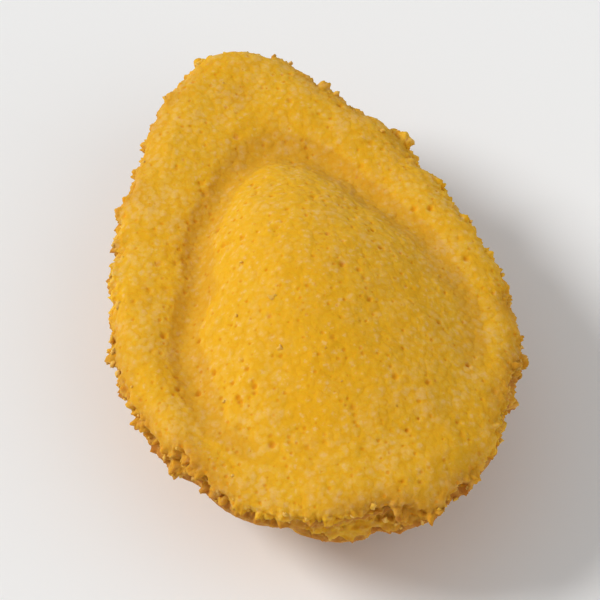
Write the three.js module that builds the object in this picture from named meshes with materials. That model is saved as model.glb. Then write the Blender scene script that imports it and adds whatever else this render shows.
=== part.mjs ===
import * as THREE from "three";

const { clamp, degToRad, lerp, smoothstep } = THREE.MathUtils;

// A madeleine: a small shell-shaped sponge cake, lying on its ribbed side.
// Millimetres, +Z up. The long axis runs along Y, with the narrow hinge end
// towards +Y. The rim is the edge that stood at the top of the baking mould:
// below it the cake has the mould's ribbed shell, above it the batter rose
// freely into a puffed brim, a crease and a low hump.

// ---- driving dimensions ---------------------------------------------------
const LENGTH = 75; // hinge end to broad end
const WIDTH = 49; // across the widest place
const SHELL_DEPTH = 15; // rim down to the lowest rib

// The plan outline departs from an oval by these shares of its half width and
// half length.
const HINGE_TAPER = 0.08; // the hinge half narrower, the broad half wider
const SIDE_FULLNESS = 0.04; // the middle of each side fuller
const BROAD_SHIFT = 0.08; // the widest place moved towards the broad end

// The free upper side.
const BRIM_RISE = 3.4; // rim up to the top of the brim
const BRIM_ROUND = 5; // width of the brim's rounded edge
const CREASE_DEPTH = 1.3; // the fold between brim and hump
const CREASE_WIDTH = 2.4;
const HUMP_RISE = 6.8; // hump above the brim
const HUMP_HALF_WIDTH = 16.8;
const HUMP_HALF_LENGTH = 27;
const HUMP_CENTRE_Y = -6;
const HUMP_TAPER = 0.22; // the hump narrows towards the hinge end
const HUMP_LEAN = 0.12; // how much further it reaches on the flow side
const FLOW_ANGLE = 0.75; // turns the flow side from the broad end towards +X
const WRINKLE_HEIGHT = 0.14;
const WRINKLE_COUNT = 19;

// The moulded underside.
const SHELL_CENTRE_Y = -5; // the deepest place
const HINGE_Y = 29; // where the ribs come together
const RIB_DEPTH = 1.5; // crest to groove at the broad end
const RIB_FULL_REACH = 36; // the ribs have grown to that depth this far out
const FLAT_SPOT = 0.55; // how far the lowest crests are worn flat

// Angles at the hinge point, from the long axis, of the grooves on one side.
const GROOVE_ANGLES = [0, 9.5, 19.5, 31, 47, 76].map(degToRad);

// The crumbly rim.
const TEETH_REACH = 2; // how far from the rim its teeth are felt
const BITE_LENGTH = 5;
const BITE_DEPTH = 3.2;
const BITE_THRESHOLD = 0.25; // higher leaves fewer bites
const BITE_SEED = 113;
const WARP_LENGTH = 7; // the teeth and bites crowd and spread over this length
const WARP_REACH = 2.5;
const WARP_SEED = 115;
const STRETCH_LENGTH = 13; // of the rougher and smoother stretches
const STRETCH_SEED = 669;
const SMOOTHEST = 0.45; // the teeth's height there, as a share
const ROUGHEST = 1.35;
const RIM_LIFT = 0.8; // the two ends stand this much higher

// Unevenness in layers, each a wavelength, a height and a seed.
const SEED = 4711;
const TOP_WAVES = [
  [16, 0.5, 4],
  [7.5, 0.3, 5],
  [3.4, 0.16, 6],
];
const SHELL_WAVES = [
  [13, 0.3, 1],
  [6, 0.22, 2],
  [3, 0.14, 3],
];
const RIM_TEETH = [
  [8, 0.45, 110],
  [3.6, 0.85, 109],
  [1.9, 1.05, 108],
];

// Mesh spacing.
const RIM_STEP = 0.72; // between vertices along the rim
const SHELL_RINGS = 19;
const SHELL_RING_POWER = 2; // above 1 the rings are closer near the rim
const TOP_RINGS = 18;
const TOP_RING_POWER = 1.45;
const HALF_DENSITY_FROM = 0.14; // inwards from here every second vertex
const QUARTER_DENSITY_FROM = 0.68; // and from here every fourth

// ---- noise ------------------------------------------------------------------
// A seeded random value, -1 to 1, at each point of a whole-number lattice.
function latticeValue(ix, iy, iz, seed) {
  let h = Math.imul(ix, 374761393) + Math.imul(iy, 668265263);
  h = (h + Math.imul(iz, 2147483647) + Math.imul(seed, 974711)) | 0;
  h = Math.imul(h ^ (h >>> 13), 1274126177);
  h = Math.imul(h ^ (h >>> 15), 2246822519);
  return ((h ^ (h >>> 16)) >>> 0) / 2147483648 - 1;
}

// Smooth noise at a wavelength in millimetres.
function grain(p, wavelength, seed) {
  const [x, y, z] = p.toArray().map((v) => v / wavelength);
  const ix = Math.floor(x);
  const iy = Math.floor(y);
  const iz = Math.floor(z);
  const u = smoothstep(x - ix, 0, 1);
  const v = smoothstep(y - iy, 0, 1);
  const w = smoothstep(z - iz, 0, 1);
  const at = (a, b, c) => latticeValue(ix + a, iy + b, iz + c, SEED + seed);
  const row = (b, c) => lerp(at(0, b, c), at(1, b, c), u);
  return lerp(lerp(row(0, 0), row(1, 0), v), lerp(row(0, 1), row(1, 1), v), w);
}

function waves(p, layers) {
  let sum = 0;
  for (const [wavelength, height, seed] of layers) sum += height * grain(p, wavelength, seed);
  return sum;
}

// ---- plan outline and rim -------------------------------------------------
// Runs from t = 0 at the hinge end to pi at the broad end, on the +X side.
function outline(t) {
  const across = Math.sin(t) - HINGE_TAPER * Math.sin(2 * t) - SIDE_FULLNESS * Math.sin(3 * t);
  const along = Math.cos(t) - BROAD_SHIFT * Math.sin(t) ** 2;
  return new THREE.Vector2(across, along);
}

const OUTLINE_SAMPLES = 2000;
let fullest = 0;
for (let i = 0; i < OUTLINE_SAMPLES; i++) {
  fullest = Math.max(fullest, outline((Math.PI * i) / OUTLINE_SAMPLES).x);
}

function rimPoint(t) {
  return outline(t).multiply(new THREE.Vector2(WIDTH / 2 / fullest, LENGTH / 2));
}

// The parameter of the outline at which an angle measured from a point on the
// long axis is reached. The angle grows or falls steadily with t.
function parameterAt(goal, angleOf) {
  const rising = angleOf(rimPoint(Math.PI)) > angleOf(rimPoint(0));
  let low = 0;
  let high = Math.PI;
  for (let i = 0; i < 40; i++) {
    const middle = (low + high) / 2;
    if (angleOf(rimPoint(middle)) < goal === rising) low = middle;
    else high = middle;
  }
  return (low + high) / 2;
}

const hingeAngle = (p) => Math.atan2(p.x, HINGE_Y - p.y);
const shellAngle = (p) => Math.atan2(p.x, p.y - SHELL_CENTRE_Y);

// Evenly spaced parameters along one stretch of the outline. The number of
// steps is a multiple of four, so that coarser rings keep the groove lines.
function evenSteps(start, end) {
  const samples = 200;
  const travelled = [0];
  for (let i = 1; i <= samples; i++) {
    const a = rimPoint(lerp(start, end, (i - 1) / samples));
    const b = rimPoint(lerp(start, end, i / samples));
    travelled.push(travelled[i - 1] + a.distanceTo(b));
  }
  const whole = travelled[samples];
  const steps = 4 * Math.max(1, Math.round(whole / (4 * RIM_STEP)));
  const found = [];
  for (let s = 0, i = 1; s < steps; s++) {
    const goal = (whole * s) / steps;
    while (travelled[i] < goal) i++;
    const part = (goal - travelled[i - 1]) / (travelled[i] - travelled[i - 1]);
    found.push(lerp(start, end, (i - 1 + part) / samples));
  }
  return found;
}

// The rim's vertices, all the way round from the hinge end: the +X side, then
// its mirror image. Each knows how far across its rib it lies, and whether it
// is on the plain stretch at the hinge, which has no ribs.
function makeRim() {
  const bounds = [0, ...GROOVE_ANGLES.map((a) => parameterAt(a, hingeAngle)).reverse()];
  const side = [];
  for (let k = 0; k + 1 < bounds.length; k++) {
    const steps = evenSteps(bounds[k], bounds[k + 1]);
    steps.forEach((t, s) => {
      side.push({ at: rimPoint(t), plain: k === 0, across: s / steps.length });
    });
  }
  side.push({ at: rimPoint(Math.PI), plain: false, across: 1 });
  const mirrored = side
    .slice(1, -1)
    .reverse()
    .map((s) => ({ ...s, at: new THREE.Vector2(-s.at.x, s.at.y) }));
  return [...side, ...mirrored];
}

const rim = makeRim();

function rimDistance(x, y) {
  let best = Infinity;
  for (const { at } of rim) best = Math.min(best, Math.hypot(x - at.x, y - at.y));
  return best;
}

// ---- the two surfaces, as heights above the rim -----------------------------
// How far the outline lies from the deepest place of the shell, by angle.
const RADIUS_STEPS = 360;
const radii = [];
for (let i = 0; i <= RADIUS_STEPS; i++) {
  const p = rimPoint(parameterAt((Math.PI * i) / RADIUS_STEPS, shellAngle));
  radii.push(Math.hypot(p.x, p.y - SHELL_CENTRE_Y));
}

function shellHeight(x, y) {
  const p = new THREE.Vector2(Math.abs(x), y);
  const place = (shellAngle(p) / Math.PI) * RADIUS_STEPS;
  const i = Math.min(Math.floor(place), RADIUS_STEPS - 1);
  const radius = Math.hypot(x, y - SHELL_CENTRE_Y) / lerp(radii[i], radii[i + 1], place - i);
  return -SHELL_DEPTH * (1 - Math.min(radius, 1) ** 2.4) ** 0.62;
}

// 1 on the side where the batter flowed out over the brim, towards +X and the
// broad end, and -1 on the side where the crease is sharpest.
function flowSide(x, y) {
  return -Math.cos(Math.atan2(x, y - HUMP_CENTRE_Y) + FLOW_ANGLE);
}

// 0 at the middle of the hump, 1 at the crease around it.
function humpRadius(x, y) {
  const along = (y - HUMP_CENTRE_Y) / HUMP_HALF_LENGTH;
  const halfWidth = HUMP_HALF_WIDTH * (1 - HUMP_TAPER * along);
  const radius = Math.hypot(x / halfWidth, along);
  return radius / (1 + HUMP_LEAN * smoothstep(radius, 0, 0.7) * flowSide(x, y));
}

function topHeight(x, y) {
  const fromRoundTop = 1 - Math.min(rimDistance(x, y) / BRIM_ROUND, 1);
  const brim = BRIM_RISE * Math.sqrt(Math.max(0, 1 - fromRoundTop ** 2.2));
  const radius = humpRadius(x, y);
  const hump = HUMP_RISE * (1 - Math.min(radius, 1) ** 2) ** 1.3;
  // The crease wanders, and fades where the batter flowed over the brim.
  const side = Math.atan2(x, y - HUMP_CENTRE_Y);
  const wander = 0.05 * Math.sin(3 * side + 1) + 0.03 * Math.sin(7 * side);
  const fromCrease = ((radius - 0.98 - wander) * HUMP_HALF_WIDTH) / CREASE_WIDTH;
  const sharpness = lerp(0.1, 1, smoothstep(-flowSide(x, y), -0.6, 0.6));
  return brim + hump - CREASE_DEPTH * sharpness * Math.exp(-(fromCrease ** 2));
}

// ---- relief, measured outwards along the surface's normal --------------------
function shellRelief(p, trait) {
  const reach = Math.hypot(p.x, p.y - HINGE_Y) / RIB_FULL_REACH;
  const depth = RIB_DEPTH * clamp(reach, 0.1, 1) * lerp(0.5, 1, smoothstep(trait.inset, 0, 5));
  const groove = trait.plain ? 0 : 1 - Math.abs(Math.sin(Math.PI * trait.across)) ** 0.62;
  return waves(p, SHELL_WAVES) - depth * groove;
}

// Besides its waves the top has faint wrinkles, in patches, that run out over
// the flanks of the hump.
function topRelief(p) {
  const side = Math.atan2(p.x / HUMP_HALF_WIDTH, (p.y - HUMP_CENTRE_Y) / HUMP_HALF_LENGTH);
  const wrinkle = Math.sin(WRINKLE_COUNT * side + 5 * grain(p, 11, 7));
  const onFlank = Math.exp(-(((humpRadius(p.x, p.y) - 0.85) / 0.2) ** 2));
  const patch = smoothstep(grain(p, 17, 12), -0.3, 0.5);
  return waves(p, TOP_WAVES) + WRINKLE_HEIGHT * wrinkle * onFlank * patch;
}

// The rim has small teeth where the thin edge broke away from the mould, higher
// in some stretches than in others, and a few bites that are longer and deeper.
function rimRelief(p) {
  const warped = p.clone().addScalar(WARP_REACH * grain(p, WARP_LENGTH, WARP_SEED));
  const roughness = smoothstep(grain(p, STRETCH_LENGTH, STRETCH_SEED), -0.4, 0.4);
  const teeth = waves(warped, RIM_TEETH) * lerp(SMOOTHEST, ROUGHEST, roughness);
  const bite = Math.max(0, grain(warped, BITE_LENGTH, BITE_SEED) - BITE_THRESHOLD);
  return teeth - BITE_DEPTH * bite;
}

// ---- mesh --------------------------------------------------------------------
const points = []; // where each vertex lies before the relief
const traits = []; // what the relief does at it
const triangles = [];

function addPoint(x, y, z, trait) {
  points.push(new THREE.Vector3(x, y, z));
  traits.push({ inset: rimDistance(x, y), ...trait });
  return points.length - 1;
}

// Joins an outer ring to a ring inside it that has as many vertices, or half
// as many. Both run the same way round, clockwise from above.
function joinRings(outer, inner, facesUp) {
  const put = (a, b, c) => triangles.push(...(facesUp ? [a, b, c] : [a, c, b]));
  const stride = outer.length / inner.length;
  inner.forEach((near, i) => {
    const next = inner[(i + 1) % inner.length];
    const corner = outer[stride * i];
    const last = outer[(stride * (i + 1)) % outer.length];
    const middle = stride === 2 ? outer[stride * i + 1] : last;
    put(corner, near, middle);
    put(middle, near, next);
    if (stride === 2) put(middle, next, last);
  });
}

// Every vertex of the rim near it, then every second and every fourth.
function everyNth(inward) {
  if (inward < HALF_DENSITY_FROM) return 1;
  return inward < QUARTER_DENSITY_FROM ? 2 : 4;
}

function makeShell(rimRing) {
  let outer = rimRing;
  for (let ring = 1; ring < SHELL_RINGS; ring++) {
    const inward = (ring / SHELL_RINGS) ** SHELL_RING_POWER;
    const stations = rim.filter((_, i) => i % everyNth(inward) === 0);
    const inner = stations.map(({ at, plain, across }) => {
      const x = lerp(at.x, 0, inward);
      const y = lerp(at.y, HINGE_Y, inward);
      return addPoint(x, y, shellHeight(x, y), { side: "shell", plain, across });
    });
    joinRings(outer, inner, false);
    outer = inner;
  }
  const hinge = addPoint(0, HINGE_Y, shellHeight(0, HINGE_Y), { side: "shell", plain: true });
  outer.forEach((a, i) => triangles.push(a, outer[(i + 1) % outer.length], hinge));
}

// The rings of the upper side shrink towards a spine along the middle, so that
// they follow the brim at an even width.
const SPINE_START_Y = -17;
const SPINE_END_Y = 21;

function makeTop(rimRing) {
  let outer = rimRing;
  for (let ring = 1; ring < TOP_RINGS - 1; ring++) {
    const inward = (ring / TOP_RINGS) ** TOP_RING_POWER;
    const stations = rim.filter((_, i) => i % everyNth(inward) === 0);
    const inner = stations.map(({ at }) => {
      const foot = lerp(SPINE_START_Y, SPINE_END_Y, at.y / LENGTH + 0.5);
      const x = lerp(at.x, 0, inward);
      const y = lerp(at.y, foot, inward);
      return addPoint(x, y, topHeight(x, y), { side: "top" });
    });
    joinRings(outer, inner, true);
    outer = inner;
  }
  zipAcross(outer);
}

// Closes the innermost ring, whose two sides are mirror images, across a row
// of vertices on the spine.
function zipAcross(ring) {
  const n = ring.length;
  const spine = [];
  for (let i = 1; i < n / 2; i++) {
    const { y } = points[ring[i]];
    spine.push(addPoint(0, y, topHeight(0, y), { side: "top" }));
  }
  for (let i = 0; i < n / 2; i++) {
    const [right, rightNext] = [ring[i], ring[i + 1]];
    const [left, leftNext] = [ring[(n - i) % n], ring[n - i - 1]];
    const [near, next] = [spine[i - 1], spine[i]];
    if (i === 0) {
      triangles.push(right, next, rightNext, left, leftNext, next);
    } else if (i === n / 2 - 1) {
      triangles.push(right, near, rightNext, near, left, leftNext);
    } else {
      triangles.push(right, near, rightNext, near, next, rightNext);
      triangles.push(near, left, next, left, leftNext, next);
    }
  }
}

// Moves every vertex by its relief. The middle of the top moves straight up.
function applyRelief(geometry) {
  const upwards = new THREE.Vector3(0, 0, 1);
  const position = geometry.getAttribute("position");
  const normals = geometry.getAttribute("normal");
  points.forEach((p, i) => {
    const trait = traits[i];
    const onTop = trait.side === "top";
    const normal = new THREE.Vector3().fromBufferAttribute(normals, i);
    if (onTop) normal.lerp(upwards, smoothstep(trait.inset, 4, 9)).normalize();
    const atRim = Math.exp(-((Math.hypot(trait.inset, p.z) / TEETH_REACH) ** 2));
    const surface = onTop ? topRelief(p) * (1 - 0.7 * atRim) : shellRelief(p, trait);
    const moved = p.clone().addScaledVector(normal, surface + rimRelief(p) * atRim);
    // The rim isn't quite level.
    const nearRim = Math.exp(-((trait.inset / 9) ** 2));
    const ends = (p.y / (LENGTH / 2)) ** 2;
    moved.z += nearRim * (RIM_LIFT * ends + 0.35 * grain(p, 12, 11));
    position.setXYZ(i, moved.x, moved.y, moved.z);
  });
}

// Wears the lowest crests flat in one plane, which the cake rests on, and puts
// that plane at z = 0 under the middle of the cake.
function restOnFlatSpot(geometry) {
  geometry.computeBoundingBox();
  const floor = geometry.boundingBox.min.z + FLAT_SPOT;
  const position = geometry.getAttribute("position");
  for (let i = 0; i < position.count; i++) {
    position.setZ(i, Math.max(position.getZ(i), floor));
  }
  const middle = geometry.boundingBox.getCenter(new THREE.Vector3());
  geometry.translate(-middle.x, -middle.y, -floor);
}

function makeMadeleine() {
  const rimRing = rim.map(({ at, plain, across }) =>
    addPoint(at.x, at.y, 0, { side: "rim", plain, across }),
  );
  makeShell(rimRing);
  makeTop(rimRing);
  const geometry = new THREE.BufferGeometry().setFromPoints(points);
  geometry.setIndex(triangles);
  geometry.computeVertexNormals();
  applyRelief(geometry);
  restOnFlatSpot(geometry);
  geometry.computeVertexNormals();
  const crumb = new THREE.MeshStandardMaterial({
    color: 0xdfa82e,
    roughness: 0.85,
    metalness: 0,
  });
  const cake = new THREE.Mesh(geometry, crumb);
  cake.name = "madeleine";
  return cake;
}

const part = new THREE.Group();
part.add(makeMadeleine());
export default part;
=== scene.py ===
"""A madeleine: the fine surface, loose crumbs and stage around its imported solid."""

import math

import bpy
from bpy.props import FloatProperty, FloatVectorProperty, IntProperty, PointerProperty
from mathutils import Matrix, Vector, kdtree


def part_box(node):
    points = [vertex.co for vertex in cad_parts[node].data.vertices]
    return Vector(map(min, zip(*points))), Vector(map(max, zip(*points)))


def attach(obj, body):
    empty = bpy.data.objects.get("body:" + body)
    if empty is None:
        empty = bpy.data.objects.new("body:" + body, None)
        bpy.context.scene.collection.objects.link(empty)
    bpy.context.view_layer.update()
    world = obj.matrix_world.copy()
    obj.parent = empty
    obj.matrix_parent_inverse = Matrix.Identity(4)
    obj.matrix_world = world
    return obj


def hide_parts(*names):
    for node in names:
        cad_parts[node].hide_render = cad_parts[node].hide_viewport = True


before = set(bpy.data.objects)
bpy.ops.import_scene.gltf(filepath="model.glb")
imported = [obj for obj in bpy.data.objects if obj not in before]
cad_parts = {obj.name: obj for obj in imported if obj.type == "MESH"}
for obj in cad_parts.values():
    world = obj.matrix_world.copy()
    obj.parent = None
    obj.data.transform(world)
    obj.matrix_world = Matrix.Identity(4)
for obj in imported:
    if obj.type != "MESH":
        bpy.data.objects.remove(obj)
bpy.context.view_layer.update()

bl_info = {
    "name": "Madeleine",
    "version": (1, 0, 0),
    "blender": (4, 5, 0),
    "location": "View3D > Sidebar > Madeleine",
    "description": "Finishes a shell-shaped sponge cake: its crumb, its loose crumbs and its stage",
    "category": "Object",
}

MM = 0.001
SOLID = "madeleine"
BODY = "root"
CAKE = "cake"
LOOSE_CRUMBS = "loose_crumbs"
CAKE_LOW, CAKE_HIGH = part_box(SOLID)

# The crumb: patches with more and fewer bubbles, the bubbles' largest radius, the depth of the
# small ones against the large ones', lumps and grain.
PATCH_SIZE = 9 * MM
LARGE_BUBBLE = 0.62 * MM
SMALL_BUBBLE = 0.36 * MM
SMALL_BUBBLE_DEPTH = 0.32
LUMP_SIZE = 5 * MM
GRAIN_SIZE = 1.1 * MM

# The torn rim: how far in it reaches, its rougher and finer stretches, and its pieces.
TORN_REACH = 2.0 * MM
STRETCH_SIZE = 13 * MM
CLOD_SIZE = 3.0 * MM
CHUNK_SIZE = 1.5 * MM
LARGE_DOME = 1.2 * MM
SMALL_DOME = 0.7 * MM
SHRED_SIZE = 0.7 * MM

# The colours: their patches, freckles and browning, and the finest grain, which is bump.
MOTTLE_SIZE = 3.2 * MM
SPECKLE_SIZE = 0.8 * MM
CELL_SIZE = 0.85 * MM
SCORCH_SIZE = 15 * MM
BROWN_RIM_WIDTH = 4.5 * MM
FINE_GRAIN_SIZE = 0.45 * MM
CRUMB_GLOSS = 0.12

# Where the loose crumbs lie.
CRUMB_RIM_WIDTH = 1.7 * MM
CLUSTER_SIZE = 14 * MM
SHARE_ON_TOP = 0.05
CRUMBS_PER_SQUARE_METRE = 8e5

# Their form: the smallest against the largest, how rare large ones are, their three sides, and
# the chips and ragged bits on them, with depths against the largest crumb's radius.
SMALLEST_CRUMB = 0.35
LARGE_CRUMB_RARITY = 2.4
CRUMB_PROPORTIONS = (1.0, 0.75, 0.6)
CHIP_SIZE = 0.8 * MM
CHIP_DEPTH = 1.5
RAGGED_SIZE = 0.5 * MM
RAGGED_DEPTH = 1.6
FULL_TURN = 6.28

# The lights: each one's angle round from the camera, height and width, in degrees.
KEY_LIGHT = {"side": -97, "height": 39, "width": 22}
FILL_LIGHT = {"side": 57, "height": 36, "width": 60}


# ---- settings ---------------------------------------------------------------------
class CakeSettings(bpy.types.PropertyGroup):
    """The cake's fine surface and its colours."""

    voxel: FloatProperty(
        name="Voxel", description="Spacing of the fine surface", default=0.24 * MM, unit="LENGTH"
    )
    triangles: IntProperty(
        name="Triangles",
        description="Most triangles that the finished surface has",
        default=196000,
    )
    lumps: FloatProperty(
        name="Lumps",
        description="Height of the soft lumps all over the crumb",
        default=0.34 * MM,
        unit="LENGTH",
    )
    grain: FloatProperty(
        name="Grain", description="Height of the fine grain", default=0.17 * MM, unit="LENGTH"
    )
    pore_spacing: FloatProperty(
        name="Pore spacing",
        description="Size of the cells that hold one air bubble each",
        default=2.0 * MM,
        unit="LENGTH",
    )
    pore_depth: FloatProperty(
        name="Pore depth",
        description="Depth of the air bubbles",
        default=0.36 * MM,
        unit="LENGTH",
    )
    tooth_sharpness: FloatProperty(
        name="Tooth sharpness",
        description="How sharp the rim's teeth stay",
        default=0.75,
        min=0.0,
        max=1.0,
        subtype="FACTOR",
    )
    rim_roughness: FloatProperty(
        name="Rim roughness",
        description="Height of the crumbs along the torn rim",
        default=1.2 * MM,
        unit="LENGTH",
    )
    golden: FloatVectorProperty(
        name="Golden", description="Main colour", subtype="COLOR", default=(0.775, 0.43, 0.03)
    )
    pale: FloatVectorProperty(
        name="Pale", description="Lighter patches", subtype="COLOR", default=(0.79, 0.475, 0.125)
    )
    deep: FloatVectorProperty(
        name="Deep", description="Deeper patches", subtype="COLOR", default=(0.765, 0.385, 0.006)
    )
    # Partly painted shade: the darker orange inside the air bubbles' pits.
    pore: FloatVectorProperty(
        name="Pore",
        description="Inside the air bubbles",
        subtype="COLOR",
        default=(0.75, 0.29, 0.002),
    )
    # This colour is also the painted shade in the cake's hollows and creases.
    browned: FloatVectorProperty(
        name="Browned",
        description="Where the crust browned",
        subtype="COLOR",
        default=(0.42, 0.15, 0.022),
    )


class LooseCrumbSettings(bpy.types.PropertyGroup):
    """The loose crumbs that cling to the cake, most of them along its rim."""

    spacing: FloatProperty(
        name="Spacing",
        description="Least distance between crumbs",
        default=1.5 * MM,
        unit="LENGTH",
    )
    size: FloatProperty(
        name="Size", description="Radius of the largest crumb", default=0.55 * MM, unit="LENGTH"
    )
    seed: IntProperty(name="Seed", description="Changes where the crumbs lie", default=5)


class StageSettings(bpy.types.PropertyGroup):
    """The floor, the lights and the camera."""

    floor_colour: FloatVectorProperty(
        name="Floor",
        description="Colour of the floor",
        subtype="COLOR",
        default=(0.88, 0.88, 0.875),
    )
    floor_radius: FloatProperty(
        name="Floor radius",
        description="From the cake to where the floor rises",
        default=2.0,
        unit="LENGTH",
    )
    key_strength: FloatProperty(
        name="Key", description="Strength of the key light", default=2.2
    )
    fill_strength: FloatProperty(
        name="Fill", description="Strength of the fill light", default=0.45
    )
    world_strength: FloatProperty(
        name="World", description="Strength of the light from all round", default=0.42
    )
    azimuth: FloatProperty(
        name="Azimuth",
        description="Direction of the camera round the cake, from the broad end",
        default=math.radians(-15),
        subtype="ANGLE",
    )
    elevation: FloatProperty(
        name="Elevation",
        description="Height of the camera above the floor",
        default=math.radians(52),
        subtype="ANGLE",
    )
    distance: FloatProperty(
        name="Distance", description="From the camera to the cake", default=0.6, unit="LENGTH"
    )
    view_width: FloatProperty(
        name="View", description="Width of the view at the cake", default=0.073, unit="LENGTH"
    )


# ---- nodes ------------------------------------------------------------------------
class Wire:
    """A node's output. Arithmetic on it adds Math nodes to its tree."""

    def __init__(self, graph, socket):
        self.graph = graph
        self.socket = socket

    def __add__(self, other):
        return self.graph.math("ADD", self, other)

    def __radd__(self, other):
        return self.graph.math("ADD", other, self)

    def __sub__(self, other):
        return self.graph.math("SUBTRACT", self, other)

    def __rsub__(self, other):
        return self.graph.math("SUBTRACT", other, self)

    def __mul__(self, other):
        return self.graph.math("MULTIPLY", self, other)

    def __rmul__(self, other):
        return self.graph.math("MULTIPLY", other, self)

    def __pow__(self, other):
        return self.graph.math("POWER", self, other)

    def __rpow__(self, other):
        return self.graph.math("POWER", other, self)


class Graph:
    """Adds nodes to a shader or geometry node tree."""

    def __init__(self, tree):
        self.tree = tree

    def node(self, kind, settings=None, sockets=None):
        """Makes a node: its settings come first, then its sockets' values or links."""
        made = self.tree.nodes.new(kind)
        for name, value in (settings or {}).items():
            setattr(made, name, value)
        for name, value in (sockets or {}).items():
            if isinstance(name, int):
                socket = made.inputs[name]
            else:
                socket = next(s for s in made.inputs if name in (s.identifier, s.name))
            if isinstance(value, Wire):
                self.tree.links.new(value.socket, socket)
            else:
                socket.default_value = value
        return made

    def wire(self, kind, settings=None, sockets=None, output=0):
        return Wire(self, self.node(kind, settings, sockets).outputs[output])

    def math(self, operation, *values):
        return self.wire("ShaderNodeMath", {"operation": operation}, dict(enumerate(values)))

    def vector_math(self, operation, sockets, output=0):
        return self.wire("ShaderNodeVectorMath", {"operation": operation}, sockets, output)

    def part(self, vector, axis):
        """One number of a vector or colour, by its axis."""
        return self.wire("ShaderNodeSeparateXYZ", None, {0: vector}, "XYZ".index(axis))

    def rise(self, value, start, end, low=0.0, high=1.0):
        """Goes smoothly from low to high as value goes from start to end."""
        limits = {"From Min": start, "From Max": end, "To Min": low, "To Max": high}
        settings = {"interpolation_type": "SMOOTHSTEP"}
        return self.wire("ShaderNodeMapRange", settings, {"Value": value, **limits})

    def noise(self, place, size, detail=2.0, roughness=0.5):
        """Smooth noise from about -0.5 to 0.5, with features of this size."""
        sockets = {"Vector": place, "Scale": 1 / size, "Detail": detail, "Roughness": roughness}
        return self.wire("ShaderNodeTexNoise", {"noise_dimensions": "3D"}, sockets) - 0.5

    def cells(self, place, spacing, smoothness=None):
        """Irregular cells of this size, with sharp borders unless they get a smoothness."""
        sockets = {"Vector": place, "Scale": 1 / spacing, "Randomness": 1.0}
        if smoothness is None:
            return self.node("ShaderNodeTexVoronoi", {"feature": "F1"}, sockets)
        sockets["Smoothness"] = smoothness
        return self.node("ShaderNodeTexVoronoi", {"feature": "SMOOTH_F1"}, sockets)

    def bubbles(self, place, spacing, largest, share):
        """Round spots of random size in this share of the cells: 1 at the middle, 0 outside."""
        cell = self.cells(place, spacing)
        distance = Wire(self, cell.outputs["Distance"])
        chance = self.part(Wire(self, cell.outputs["Color"]), "X")
        radius = largest / spacing
        radius = self.rise(chance, 1 - share, 1.0, low=0.02 * radius, high=radius)
        return self.rise(distance, radius, radius * 0.3)

    def domes(self, place, spacing):
        """Rounded bumps side by side, about zero."""
        cell = self.cells(place, spacing, smoothness=0.25)
        distance = Wire(self, cell.outputs["Distance"])
        return 0.45 - distance * distance * 2.2

    def chunks(self, place, spacing):
        """A random level for each cell, about zero, with short slopes between them."""
        cell = self.cells(place, spacing, smoothness=0.2)
        return self.part(Wire(self, cell.outputs["Color"]), "X") - 0.5

    def layers(self, colour, coats):
        """A colour with coats over it, each an amount and a colour of three numbers."""
        for amount, coat in coats:
            below = colour if isinstance(colour, Wire) else (*colour, 1.0)
            sockets = {"Factor_Float": amount, "A_Color": below, "B_Color": (*coat, 1.0)}
            colour = self.wire("ShaderNodeMix", {"data_type": "RGBA"}, sockets, output=2)
        return colour


def geometry_graph(name):
    """An empty geometry node tree, and the wire of the mesh that comes in."""
    tree = bpy.data.node_groups.new(name, "GeometryNodeTree")
    for side in ("INPUT", "OUTPUT"):
        tree.interface.new_socket("Geometry", in_out=side, socket_type="NodeSocketGeometry")
    graph = Graph(tree)
    return graph, graph.wire("NodeGroupInput")


def read_from_mesh(graph, name):
    """In geometry nodes, a number that the mesh has at each vertex."""
    return graph.wire("GeometryNodeInputNamedAttribute", None, {"Name": name})


def store_on_mesh(graph, mesh, kind, name, value):
    """In geometry nodes, gives each vertex a value for the material."""
    settings = {"data_type": kind, "domain": "POINT"}
    sockets = {"Geometry": mesh, "Name": name, "Value": value}
    return graph.wire("GeometryNodeStoreNamedAttribute", settings, sockets)


def raise_mesh(graph, mesh, normal, height):
    """In geometry nodes, moves each vertex this far out along its normal."""
    offset = graph.vector_math("SCALE", {0: normal, "Scale": height})
    return graph.wire("GeometryNodeSetPosition", None, {"Geometry": mesh, "Offset": offset})


def new_material(name):
    """A new material, and the graph of its empty node tree."""
    material = bpy.data.materials.new(name)
    material.use_nodes = True
    material.node_tree.nodes.clear()
    return material, Graph(material.node_tree)


def add_surface(graph, sockets):
    """Ends a material with one shader."""
    shader = graph.wire("ShaderNodeBsdfPrincipled", None, sockets)
    graph.node("ShaderNodeOutputMaterial", None, {"Surface": shader})


def crumb_pattern(graph, place, settings):
    """The parts of the crumb's relief that its colour follows too."""
    patches = graph.noise(place, PATCH_SIZE, detail=1.0)
    crowding = graph.rise(patches, -0.22, 0.2, low=0.45, high=1.0)
    large = graph.bubbles(place, settings.pore_spacing, LARGE_BUBBLE, share=0.7)
    small = graph.bubbles(place, settings.pore_spacing * 0.5, SMALL_BUBBLE, share=1.0)
    return {
        "patches": patches,
        "large_pores": large * crowding,
        "small_pores": small,
        "grain": graph.noise(place, GRAIN_SIZE, detail=2.0, roughness=0.6),
    }


# ---- helpers on objects -----------------------------------------------------------
def select_only(piece):
    bpy.ops.object.select_all(action="DESELECT")
    piece.select_set(True)
    bpy.context.view_layer.objects.active = piece


def new_piece(name, mesh):
    """A new object with its own copy of a mesh."""
    piece = bpy.data.objects.new(name, mesh.copy())
    bpy.context.collection.objects.link(piece)
    return piece


def apply_modifier(piece, name, kind, **settings):
    select_only(piece)
    modifier = piece.modifiers.new(name, kind)
    for key, value in settings.items():
        setattr(modifier, key, value)
    bpy.ops.object.modifier_apply(modifier=modifier.name)


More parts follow.
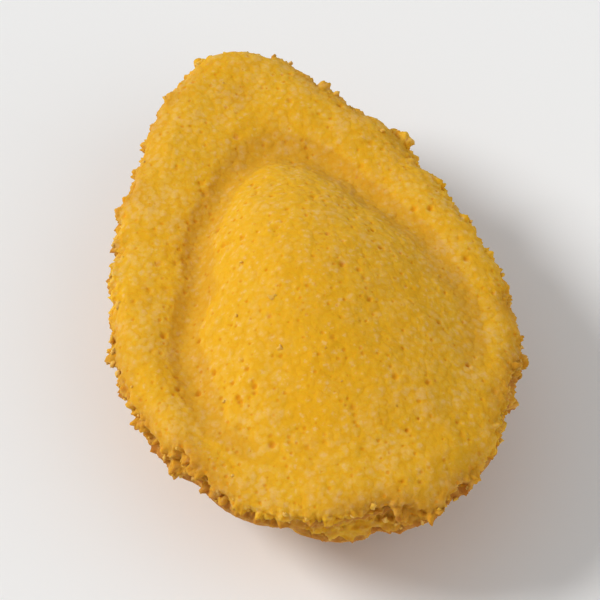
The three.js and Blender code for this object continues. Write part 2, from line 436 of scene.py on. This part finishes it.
def apply_graph(piece, graph, mesh):
    """Ends a geometry node tree with this mesh, and applies it to the piece."""
    graph.node("NodeGroupOutput", None, {0: mesh})
    apply_modifier(piece, graph.tree.name, "NODES", node_group=graph.tree)
    bpy.data.node_groups.remove(graph.tree)


def finish_piece(piece, material):
    """Smooth shading, one material, and the body that the piece belongs to."""
    select_only(piece)
    bpy.ops.object.shade_smooth()
    piece.data.materials.clear()
    piece.data.materials.append(material)
    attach(piece, BODY)


# ---- the cake ---------------------------------------------------------------------
def merge_and_make_quads(piece):
    """Merges the solid's loose triangles, and joins them in quads where they fit."""
    select_only(piece)
    bpy.ops.object.mode_set(mode="EDIT")
    bpy.ops.mesh.select_all(action="SELECT")
    bpy.ops.mesh.remove_doubles(threshold=0.001 * MM)
    bpy.ops.mesh.normals_make_consistent(inside=False)
    bpy.ops.mesh.tris_convert_to_quads(
        face_threshold=math.radians(50), shape_threshold=math.radians(60)
    )
    bpy.ops.object.mode_set(mode="OBJECT")


def rim_edges(mesh):
    """The rim's edges, where faces that look up meet faces that look down."""
    slopes = {}
    for face in mesh.polygons:
        for key in face.edge_keys:
            slopes.setdefault(key, []).append(face.normal.z)
    return [edge for edge in mesh.edges if min(slopes[edge.key]) < 0 < max(slopes[edge.key])]


def points_along(mesh, edges, per_edge=4):
    points = []
    for edge in edges:
        start, end = (mesh.vertices[index].co for index in edge.vertices)
        points += [start.lerp(end, step / per_edge) for step in range(per_edge)]
    return points


def keep_teeth(mesh, edges, sharpness):
    """Keeps the rim's teeth from being rounded away with the rest."""
    creases = mesh.attributes.new("crease_edge", "FLOAT", "EDGE")
    for edge in edges:
        creases.data[edge.index].value = sharpness


def store_rim_distance(mesh, points):
    """Gives each vertex its distance to the rim."""
    tree = kdtree.KDTree(len(points))
    for index, point in enumerate(points):
        tree.insert(point, index)
    tree.balance()
    attribute = mesh.attributes.new("rim_distance", "FLOAT", "POINT")
    distances = [tree.find(vertex.co)[2] for vertex in mesh.vertices]
    attribute.data.foreach_set("value", distances)


def torn_crumb(graph, place):
    """The broken crumb along the rim, about zero: clods with ever finer pieces on them."""
    pieces = (
        (graph.chunks(place, CHUNK_SIZE), 0.9),
        (graph.domes(place, LARGE_DOME), 0.4),
        (graph.domes(place, SMALL_DOME), 0.3),
        (graph.noise(place, SHRED_SIZE, detail=2.0, roughness=0.65), 0.9),
    )
    torn = graph.noise(place, CLOD_SIZE, detail=1.0)
    for piece, height in pieces:
        torn = torn + piece * height
    stretches = graph.noise(place, STRETCH_SIZE, detail=1.0)
    return torn * graph.rise(stretches, -0.2, 0.2, low=0.8, high=1.15)


def relief_graph(settings):
    """Raises the crumb on the smooth surface, and stores what the colour needs."""
    graph, mesh = geometry_graph("crumb relief")
    place = graph.wire("GeometryNodeInputPosition")
    normal = graph.wire("GeometryNodeInputNormal")

    # Crests stand out of a blurred copy of the surface, and hollows lie under it.
    blur = {"Value": place, "Iterations": 300}
    blurred = graph.wire("GeometryNodeBlurAttribute", {"data_type": "FLOAT_VECTOR"}, blur)
    out_of_blurred = graph.vector_math("SUBTRACT", {0: place, 1: blurred})
    crest = graph.vector_math("DOT_PRODUCT", {0: out_of_blurred, 1: normal}, output=1)
    crest = graph.rise(crest, -0.3 * MM, 0.35 * MM)
    underside = graph.rise(graph.part(normal, "Z"), 0.15, -0.3)
    mesh = store_on_mesh(graph, mesh, "FLOAT_VECTOR", "rest_place", place)
    mesh = store_on_mesh(graph, mesh, "FLOAT", "crest", crest)
    mesh = store_on_mesh(graph, mesh, "FLOAT", "underside", underside)

    # Noise reaches half of 1 each way, so it is doubled to give a height its full size.
    pattern = crumb_pattern(graph, place, settings)
    at_rim = graph.rise(read_from_mesh(graph, "rim_distance"), TORN_REACH, 0.1 * MM)
    lumps = graph.noise(place, LUMP_SIZE, detail=2.0, roughness=0.55) * settings.lumps * 2
    grain = pattern["grain"] * settings.grain * 2
    pits = pattern["large_pores"] * settings.pore_depth
    pinholes = pattern["small_pores"] * (SMALL_BUBBLE_DEPTH * settings.pore_depth)
    torn = torn_crumb(graph, place) * at_rim * settings.rim_roughness
    height = lumps + grain - (pits + pinholes) * (1 - at_rim) + torn

    # The flat spots that the cake rests on stay flat.
    above_floor = graph.part(place, "Z")
    height = height * graph.rise(above_floor, 0.2 * MM, 0.9 * MM)
    return graph, raise_mesh(graph, mesh, normal, height)


def crumb_material(settings):
    """Golden sponge, paler and deeper in patches and freckles, and browned on its crust."""
    material, graph = new_material("sponge crumb")

    def from_mesh(name, output="Fac"):
        return graph.wire("ShaderNodeAttribute", {"attribute_name": name}, None, output)

    place = from_mesh("rest_place", "Vector")
    rim_distance = from_mesh("rim_distance")
    crest = from_mesh("crest")
    underside = from_mesh("underside")
    pattern = crumb_pattern(graph, place, settings)
    mottle = graph.noise(place, MOTTLE_SIZE, detail=3.0, roughness=0.6)
    speckle = graph.noise(place, SPECKLE_SIZE, detail=2.0, roughness=0.7)
    cells = graph.domes(place, CELL_SIZE)
    freckles = speckle + cells * 0.4

    pale_patches = graph.rise(mottle, -0.1, 0.25, high=0.7)
    deep_hump = graph.rise(rim_distance, 5 * MM, 14 * MM, high=0.35)
    deep_patches = graph.rise(pattern["patches"], 0.05, -0.24, high=0.5)
    pale_freckles = graph.rise(freckles, 0.08, 0.3, high=0.8)
    deep_freckles = graph.rise(freckles, 0.05, -0.25, high=0.8)

    # The crust browned where it met the mould, most on the crests, and in
    # patches along the rim.
    scorch = graph.noise(place, SCORCH_SIZE, detail=2.0)
    near_rim = graph.rise(rim_distance, BROWN_RIM_WIDTH, 0.3 * MM)
    rim_brown = near_rim * graph.rise(scorch + crest * 0.12, 0.0, 0.25, high=0.5)
    scorched = crest * 0.6 + scorch + mottle * 0.4
    under_brown = underside * graph.rise(scorched, 0.05, 0.65, low=0.2, high=0.9)
    under_brown = under_brown * graph.rise(freckles, 0.35, -0.15, low=0.7, high=1.0)
    brown_crust = graph.math("MAXIMUM", rim_brown, under_brown)
    # The air bubbles take the pore colour: partly the crumb's own deeper colour, partly painted
    # shade in their pits.
    pores = graph.math("MAXIMUM", pattern["large_pores"], pattern["small_pores"] * 0.85)
    # Painted shade: the hollows and creases are darkened toward the browned colour, where shade
    # falls.
    painted_shade_in_hollows = graph.rise(crest, 0.5, 0.1, high=0.24)

    coats = (
        (pale_patches, settings.pale),
        (deep_hump + deep_patches, settings.deep),
        (pale_freckles, settings.pale),
        (deep_freckles, settings.deep),
        (brown_crust, settings.browned),
        # pore colour, partly painted shade in the pits
        (pores * (0.8 - under_brown * 0.55), settings.pore),
        # painted shade in the hollows and creases
        (painted_shade_in_hollows, settings.browned),
    )
    fine_grain = graph.noise(place, FINE_GRAIN_SIZE, detail=3.0, roughness=0.65)
    height = fine_grain * (0.16 + near_rim * 0.14) + cells * 0.08
    height = height - pattern["small_pores"] * 0.07
    bump = {"Strength": 0.6, "Distance": 1.0 * MM, "Height": height}
    surface = {
        "Base Color": graph.layers(settings.golden, coats),
        "Roughness": graph.rise(mottle, -0.3, 0.3, low=0.75, high=0.95),
        "Normal": graph.wire("ShaderNodeBump", None, bump),
        "Specular IOR Level": CRUMB_GLOSS,
        "Subsurface Weight": 0.4,
        "Subsurface Radius": (1.0, 0.6, 0.2),
        "Subsurface Scale": 1.3 * MM,
        "Sheen Weight": 0.02,
        "Sheen Roughness": 0.6,
    }
    add_surface(graph, surface)
    return material


class MADELEINE_OT_cake(bpy.types.Operator):
    """Makes the cake's fine surface over its solid"""

    bl_idname = "madeleine.cake"
    bl_label = "Cake"

    def execute(self, context):
        settings = context.scene.madeleine_cake
        cake = new_piece(CAKE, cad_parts[SOLID].data)
        merge_and_make_quads(cake)
        rim = rim_edges(cake.data)
        rim_points = points_along(cake.data, rim)
        keep_teeth(cake.data, rim, settings.tooth_sharpness)
        apply_modifier(cake, "rounding", "SUBSURF", levels=2, render_levels=2)
        apply_modifier(cake, "even mesh", "REMESH", mode="VOXEL", voxel_size=settings.voxel)
        apply_modifier(cake, "even surface", "SMOOTH", factor=0.5, iterations=3)
        store_rim_distance(cake.data, rim_points)
        apply_graph(cake, *relief_graph(settings))
        cake.data.calc_loop_triangles()
        share = settings.triangles / len(cake.data.loop_triangles)
        apply_modifier(cake, "fewer faces", "DECIMATE", ratio=min(1.0, share))
        finish_piece(cake, crumb_material(settings))
        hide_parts(SOLID)
        return {"FINISHED"}


# ---- loose crumbs -----------------------------------------------------------------
def crumb_places(graph, mesh, place, normal, settings):
    """Random points for the crumbs, in clusters: a few on the top, most along the rim."""
    clusters = graph.noise(place, CLUSTER_SIZE, detail=1.0)
    faces_up = graph.rise(graph.part(normal, "Z"), 0.35, 0.7)
    on_top = faces_up * graph.rise(clusters, -0.15, 0.2) * SHARE_ON_TOP
    near_rim = graph.rise(read_from_mesh(graph, "rim_distance"), CRUMB_RIM_WIDTH, 0.5 * MM)
    on_rim = near_rim * graph.rise(clusters, -0.25, 0.1)
    sockets = {
        "Mesh": mesh,
        "Distance Min": settings.spacing,
        "Density Max": CRUMBS_PER_SQUARE_METRE,
        "Density Factor": graph.math("MAXIMUM", on_top, on_rim),
        "Seed": settings.seed,
    }
    spread = {"distribute_method": "POISSON"}
    return graph.wire("GeometryNodeDistributePointsOnFaces", spread, sockets)


def loose_crumb_graph(settings):
    """Sets small uneven crumbs half sunk in the surface."""
    graph, mesh = geometry_graph("loose crumbs")
    place = graph.wire("GeometryNodeInputPosition")
    normal = graph.wire("GeometryNodeInputNormal")
    places = crumb_places(graph, mesh, place, normal, settings)

    ball = {"Radius": settings.size, "Subdivisions": 2}
    crumb = graph.wire("GeometryNodeMeshIcoSphere", None, ball)
    chipped = graph.chunks(place, CHIP_SIZE) * (settings.size * CHIP_DEPTH)
    crumb = raise_mesh(graph, crumb, normal, chipped)

    # Each crumb is turned at random, and most are small.
    turns = {"Max": (FULL_TURN, FULL_TURN, FULL_TURN), "Seed": 2}
    turn = graph.wire("FunctionNodeRandomValue", {"data_type": "FLOAT_VECTOR"}, turns)
    chance = graph.wire("FunctionNodeRandomValue", {"data_type": "FLOAT"}, {"Seed": 3}, output=1)
    size = SMALLEST_CRUMB + chance ** LARGE_CRUMB_RARITY * (1 - SMALLEST_CRUMB)
    sides = {axis: size * share for axis, share in enumerate(CRUMB_PROPORTIONS)}
    scale = graph.wire("ShaderNodeCombineXYZ", None, sides)
    placed = {"Points": places, "Instance": crumb, "Rotation": turn, "Scale": scale}
    crumbs = graph.wire("GeometryNodeInstanceOnPoints", None, placed)
    crumbs = graph.wire("GeometryNodeRealizeInstances", None, {"Geometry": crumbs})
    ragged = graph.noise(place, RAGGED_SIZE, detail=2.0, roughness=0.7)
    ragged = ragged * (settings.size * RAGGED_DEPTH)
    return graph, raise_mesh(graph, crumbs, normal, ragged)


def loose_crumb_material(settings):
    """The same sponge in small bits, mottled pale, with a few browned."""
    material, graph = new_material("loose crumb")
    place = graph.wire("ShaderNodeTexCoord", None, None, "Object")
    mottle = graph.noise(place, 1.2 * MM, detail=2.0)
    spots = graph.noise(place, 8 * MM, detail=0.0)
    coats = (
        (graph.rise(mottle, -0.2, 0.15, low=0.1, high=0.9), settings.pale),
        (graph.rise(spots, 0.12, 0.25, high=0.4), settings.browned),
    )
    fine_grain = graph.noise(place, 0.3 * MM, detail=2.0)
    bump = {"Strength": 0.5, "Distance": 0.3 * MM, "Height": fine_grain}
    surface = {
        "Base Color": graph.layers(settings.golden, coats),
        "Roughness": graph.rise(mottle, -0.3, 0.3, low=0.75, high=0.9),
        "Normal": graph.wire("ShaderNodeBump", None, bump),
        "Specular IOR Level": CRUMB_GLOSS,
        "Subsurface Weight": 0.3,
        "Subsurface Radius": (1.0, 0.8, 0.45),
        "Subsurface Scale": 0.3 * MM,
    }
    add_surface(graph, surface)
    return material


class MADELEINE_OT_loose_crumbs(bpy.types.Operator):
    """Scatters loose crumbs along the rim of the cake, and a few over its top"""

    bl_idname = "madeleine.loose_crumbs"
    bl_label = "Loose crumbs"

    def execute(self, context):
        scene = context.scene
        crumbs = new_piece(LOOSE_CRUMBS, bpy.data.objects[CAKE].data)
        apply_graph(crumbs, *loose_crumb_graph(scene.madeleine_crumbs))
        finish_piece(crumbs, loose_crumb_material(scene.madeleine_cake))
        return {"FINISHED"}


# ---- the stage --------------------------------------------------------------------
def floor_material(colour):
    material, graph = new_material("pale floor")
    add_surface(graph, {"Base Color": (*colour, 1.0), "Roughness": 0.8})
    return material


def round_floor(radius):
    """A round floor that rises gently all round, past the horizon of a low camera."""
    rise = radius * 0.5
    outer_radius = radius * 3
    bend_width = radius * 0.8
    bpy.ops.mesh.primitive_cone_add(
        vertices=96,
        radius1=radius,
        radius2=outer_radius,
        depth=rise,
        location=(0, 0, CAKE_LOW.z + rise / 2),
    )
    floor = bpy.context.object
    floor.name = "floor"
    select_only(floor)
    bpy.ops.object.transform_apply(location=True, rotation=False, scale=False)

    # The cone's wide end is its upper one, and is taken off.
    bpy.ops.object.mode_set(mode="EDIT")
    bpy.ops.mesh.select_all(action="DESELECT")
    bpy.ops.object.mode_set(mode="OBJECT")
    for face in floor.data.polygons:
        face.select = face.normal.z > 0.9
    bpy.ops.object.mode_set(mode="EDIT")
    bpy.ops.mesh.delete(type="FACE")
    bpy.ops.mesh.select_all(action="SELECT")
    bpy.ops.mesh.flip_normals()
    bpy.ops.object.mode_set(mode="OBJECT")
    bend = {"width": bend_width, "segments": 24, "angle_limit": math.radians(5)}
    apply_modifier(floor, "sweep", "BEVEL", **bend)
    bpy.ops.object.shade_smooth()
    return floor


def direction(azimuth, elevation):
    """From the cake, at this angle round from its broad end and up from the floor."""
    out = math.cos(elevation)
    return Vector((math.sin(azimuth) * out, -math.cos(azimuth) * out, math.sin(elevation)))


def aim(thing, target):
    """Turns a camera or light to look at a point."""
    thing.rotation_euler = (target - thing.location).to_track_quat("-Z", "Y").to_euler()


def add_sun(name, light, strength, camera_azimuth, target):
    """A wide soft light, as even over the floor as over the cake."""
    azimuth = camera_azimuth + math.radians(light["side"])
    towards = direction(azimuth, math.radians(light["height"]))
    bpy.ops.object.light_add(type="SUN", location=target + towards)
    lamp = bpy.context.object
    lamp.name = name
    lamp.data.angle = math.radians(light["width"])
    lamp.data.energy = strength
    aim(lamp, target)


def add_world(scene, strength):
    """White light from all round."""
    world = bpy.data.worlds.new("studio")
    scene.world = world
    world.use_nodes = True
    backdrop = world.node_tree.nodes["Background"]
    backdrop.inputs["Color"].default_value = (1.0, 1.0, 1.0, 1.0)
    backdrop.inputs["Strength"].default_value = strength


def add_camera(scene, settings, target):
    """A camera that looks down on the cake, with a lens for the width of its view."""
    towards = direction(settings.azimuth, settings.elevation)
    bpy.ops.object.camera_add(location=target + towards * settings.distance)
    camera = bpy.context.object
    camera.name = "camera"
    aim(camera, target)
    camera.data.lens = camera.data.sensor_width * settings.distance / settings.view_width
    camera.data.clip_start = 10 * MM
    scene.camera = camera


class MADELEINE_OT_stage(bpy.types.Operator):
    """Makes the pale floor, the soft lights and the camera"""

    bl_idname = "madeleine.stage"
    bl_label = "Stage"

    def execute(self, context):
        scene = context.scene
        settings = scene.madeleine_stage
        middle = (CAKE_LOW + CAKE_HIGH) / 2
        floor = round_floor(settings.floor_radius)
        floor.data.materials.append(floor_material(settings.floor_colour))
        add_sun("key light", KEY_LIGHT, settings.key_strength, settings.azimuth, middle)
        add_sun("fill light", FILL_LIGHT, settings.fill_strength, settings.azimuth, middle)
        add_world(scene, settings.world_strength)
        add_camera(scene, settings, middle)
        scene.view_settings.view_transform = "Standard"
        return {"FINISHED"}


# ---- panel and registration -------------------------------------------------------
class MADELEINE_PT_sidebar(bpy.types.Panel):
    """Lists the cake's pieces with their settings"""

    bl_idname = "MADELEINE_PT_sidebar"
    bl_label = "Madeleine"
    bl_space_type = "VIEW_3D"
    bl_region_type = "UI"
    bl_category = "Madeleine"

    def draw(self, context):
        for operator, group in STEPS:
            box = self.layout.box()
            settings = getattr(context.scene, group)
            for name in settings.bl_rna.properties.keys():
                if name not in {"rna_type", "name"}:
                    box.prop(settings, name)
            box.operator(operator)


STEPS = (
    ("madeleine.cake", "madeleine_cake"),
    ("madeleine.loose_crumbs", "madeleine_crumbs"),
    ("madeleine.stage", "madeleine_stage"),
)
SETTINGS = {
    "madeleine_cake": CakeSettings,
    "madeleine_crumbs": LooseCrumbSettings,
    "madeleine_stage": StageSettings,
}
CLASSES = (
    *SETTINGS.values(),
    MADELEINE_OT_cake,
    MADELEINE_OT_loose_crumbs,
    MADELEINE_OT_stage,
    MADELEINE_PT_sidebar,
)


def register():
    for cls in CLASSES:
        bpy.utils.register_class(cls)
    for name, group in SETTINGS.items():
        setattr(bpy.types.Scene, name, PointerProperty(type=group))


def unregister():
    for name in SETTINGS:
        delattr(bpy.types.Scene, name)
    for cls in reversed(CLASSES):
        bpy.utils.unregister_class(cls)


def main():
    register()
    for operator, _ in STEPS:
        module, name = operator.split(".")
        getattr(getattr(bpy.ops, module), name)()


if __name__ == "__main__":
    main()
